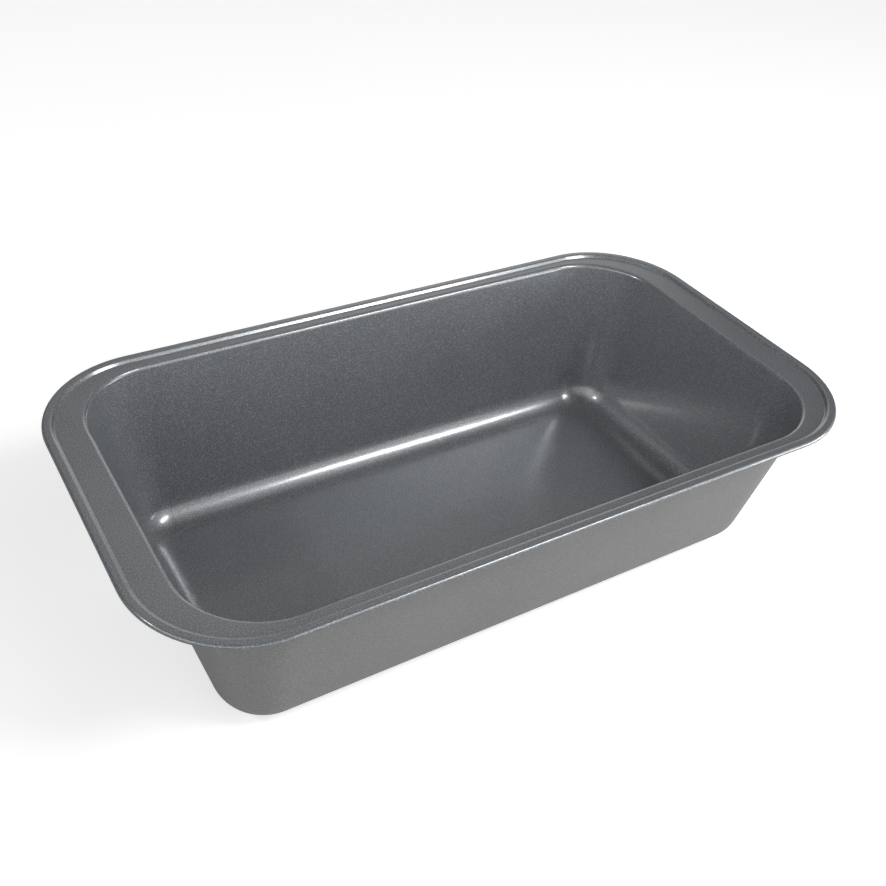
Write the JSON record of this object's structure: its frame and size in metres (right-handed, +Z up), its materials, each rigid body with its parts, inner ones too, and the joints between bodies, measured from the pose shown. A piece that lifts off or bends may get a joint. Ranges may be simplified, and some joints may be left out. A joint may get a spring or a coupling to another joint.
{
  "type": "loaf pan",
  "caption": "Tapered rectangular loaf pan with rounded corners, a wide base fillet, a flat flange that is wider at the ends, and an edge turned under as a flat hem.",
  "frame": {"origin": "centre of the base's underside", "axes": "+X along the pan's length, +Y across it, +Z up out of the open top"},
  "size_m": [0.27, 0.148, 0.065],
  "materials": {
    "steel_sheet": "cold-rolled, bare only at the cut edge under the hem",
    "food_side_coat": "semi-gloss dark blue-grey non-stick with a fine metallic speckle",
    "outside_coat": "smooth satin mid grey"
  },
  "bodies": {
    "root": {"pan_body": "steel_sheet", "inner_coating": "food_side_coat", "outer_coating": "outside_coat"}
  },
  "joints": []
}
